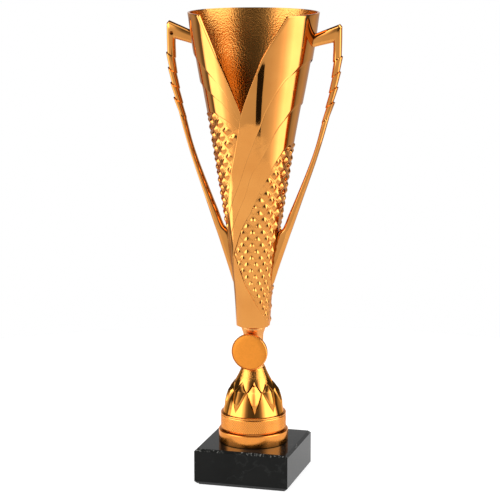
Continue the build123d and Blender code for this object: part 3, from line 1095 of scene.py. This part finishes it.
# Brightness of the studio against the angle from the camera, seen below and above the horizon.
LIGHT_SCALE = 6.0
LOW_WALLS = [
    (-180, 0.60), (-146, 0.65), (-132, 0.75), (-126, 0.60), (-121, 0.28), (-114, 0.22), (-108, 4.2),
    (-84, 4.2), (-74, 2.3), (-62, 1.5), (-50, 1.2), (-31, 1.12), (0, 1.02), (22, 1.05), (36, 1.2),
    (50, 1.5), (62, 2.1), (72, 3.2), (80, 4.2), (100, 4.2), (105, 0.14), (112, 0.12), (118, 0.60),
    (134, 0.85), (150, 0.72), (180, 0.60)]
HIGH_WALLS = [
    (-180, 1.0), (-146, 1.0), (-134, 0.10), (-100, 0.06), (-94, 5.2), (-50, 5.2), (-40, 2.4), (-30, 0.6),
    (-20, 0.2), (0, 0.12), (20, 0.2), (30, 0.6), (40, 2.4), (50, 5.2), (94, 5.2), (100, 0.06),
    (134, 0.10), (146, 1.0), (180, 1.0)]
HORIZON_FROM = -4.0
HORIZON_TO = 8.0
CEILING_HEIGHT = 50.0
BACK_HEIGHT = 18.0
OVERHEAD_LIGHT = 1.6
OVERHEAD_HEIGHT = 74.0
OVERHEAD_SPREAD = 20.0
CEILING_LIGHT = 0.06
# The dark stand: its post and the wider flag at its top, as angles across and heights in degrees.
STAND_RIGHT = 22.5
POST_LEFT = 9.0
POST_BOTTOM = -60.0
STAND_TOP = -24.6
FLAG_LEFT = 5.0
FLAG_BOTTOM = -26.0
FLAG_TOP = -25.0
STAND_LEAN = 0.7
STAND_LEAN_FROM = 25.6
STAND_DARK = 0.97


def stand_shade(graph, azimuth, height):
    """A narrow dark stand low in front, mirrored as an upright stroke on the tall leaf."""
    lean = graph.maths("MULTIPLY_ADD", height, STAND_LEAN, STAND_LEAN * STAND_LEAN_FROM)
    across = graph.maths("SUBTRACT", azimuth, lean)
    post = graph.maths("MULTIPLY", graph.window(across, POST_LEFT, STAND_RIGHT, 0.5),
                       graph.window(height, POST_BOTTOM, STAND_TOP, 0.2))
    flag = graph.maths("MULTIPLY", graph.window(across, FLAG_LEFT, STAND_RIGHT, 0.5),
                       graph.window(height, FLAG_BOTTOM, FLAG_TOP, 0.2))
    return graph.maths("MULTIPLY_ADD", graph.maths("MAXIMUM", post, flag), -STAND_DARK, 1.0)


def ceiling_light(graph, spin):
    """A dark ceiling with one soft box above and in front."""
    lift = radians(OVERHEAD_HEIGHT)
    inputs = {0: spin, 1: (0, -cos(lift), sin(lift))}
    towards = graph.make("VectorMath", inputs, "Value", operation="DOT_PRODUCT")
    box = graph.window(towards, cos(radians(OVERHEAD_SPREAD)), NO_LIMIT, 0.03)
    return graph.blend(box, CEILING_LIGHT / LIGHT_SCALE, OVERHEAD_LIGHT / LIGHT_SCALE, "FLOAT")


def make_world():
    """A soft studio: a light wall at each side with dark gaps beyond, and a pale surround."""
    world = bpy.data.worlds.new("studio")
    bpy.context.scene.world = world
    world.use_nodes = True
    graph = Graph(world.node_tree)
    graph.nodes.clear()
    turn = (0, 0, radians(-CAMERA_AZIMUTH))
    spin = graph.make("Mapping", {"Vector": graph.coords("Generated"), "Rotation": turn})
    side, depth, rise = (graph.part(spin, axis) for axis in "XYZ")
    azimuth = graph.maths("ARCTAN2", side, graph.maths("MULTIPLY", depth, -1.0))
    azimuth = graph.maths("MULTIPLY", azimuth, 180 / pi)
    height = graph.maths("MULTIPLY", graph.maths("ARCSINE", rise), 180 / pi)
    share = graph.maths("MULTIPLY_ADD", azimuth, 1 / 360, 0.5)
    low, high = (graph.ramp(share, *[(angle / 360 + 0.5, light / LIGHT_SCALE) for angle, light in stops])
                 for stops in (LOW_WALLS, HIGH_WALLS))
    walls = graph.blend(graph.ease(height, HORIZON_FROM, HORIZON_TO), low, high, "FLOAT")
    # The side walls stop short of the ceiling, and lower still behind the cup.
    ceiling = graph.window(height, CEILING_HEIGHT, NO_LIMIT, 4.0)
    behind = graph.maths("MULTIPLY", graph.window(height, BACK_HEIGHT, NO_LIMIT, 3.0),
                         graph.window(depth, 0.5, NO_LIMIT, 0.1))
    whole = graph.blend(graph.maths("MAXIMUM", ceiling, behind), walls, ceiling_light(graph, spin), "FLOAT")
    light = graph.maths("MULTIPLY", whole, LIGHT_SCALE)
    light = graph.maths("MULTIPLY", light, stand_shade(graph, azimuth, height))
    studio = graph.make("Background", {"Strength": light})
    plain = graph.make("Background", {"Color": WHITE, "Strength": 1.0})
    camera_ray = graph.make("LightPath", {}, "Is Camera Ray")
    pick = graph.make("MixShader", {"Fac": camera_ray, 1: studio, 2: plain})
    graph.feed(graph.nodes.new("ShaderNodeOutputWorld"), {"Surface": pick})


# ------------------------------------------------------------------ build
def restyle(node, material):
    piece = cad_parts[node]
    piece.data.materials.clear()
    piece.data.materials.append(material)


make_camera()
gold_skin = gold("gold_skin")
gold_satin = gold("gold_satin", roughness=(0.24, 0.34), deep=(0.74, 0.27, 0.046), light=(0.80, 0.31, 0.058),
                  own=True)
stem_skin = gold("gold_stem", roughness=(0.30, 0.40), deep=(0.66, 0.28, 0.075), light=(0.72, 0.32, 0.09))
band_skin = gold("gold_band", roughness=(0.18, 0.26), deep=(0.72, 0.25, 0.038), light=(0.80, 0.29, 0.046))
make_cup_wall(gold_satin, hammered_gold("hammered_gold"))
make_leaves(gold_skin)
make_studs(gold_skin)
make_collar(gold_skin)
make_handle("handle_right_bar", "handle_right", 0, gold_skin)
make_handle("handle_left_bar", "handle_left", 180, gold_skin)
make_foot_ring(band_skin)
make_knurled_band(band_skin)
make_bell(bell_gold("bell_gold"))
make_stem(stem_skin)
make_emblem(gold_satin, satin_gold("satin_insert"))
restyle("marble_base", black_marble("black_marble"))
restyle("foam_pad", black_foam("black_foam"))
steel = zinc_steel("zinc_steel")
for node in ("base_washer", "base_nut", "tie_rod", "cup_washer", "cup_nut", "handle_clip_right",
             "handle_clip_left"):
    restyle(node, steel)
make_floor()
make_world()
bpy.context.scene.view_settings.view_transform = "Standard"
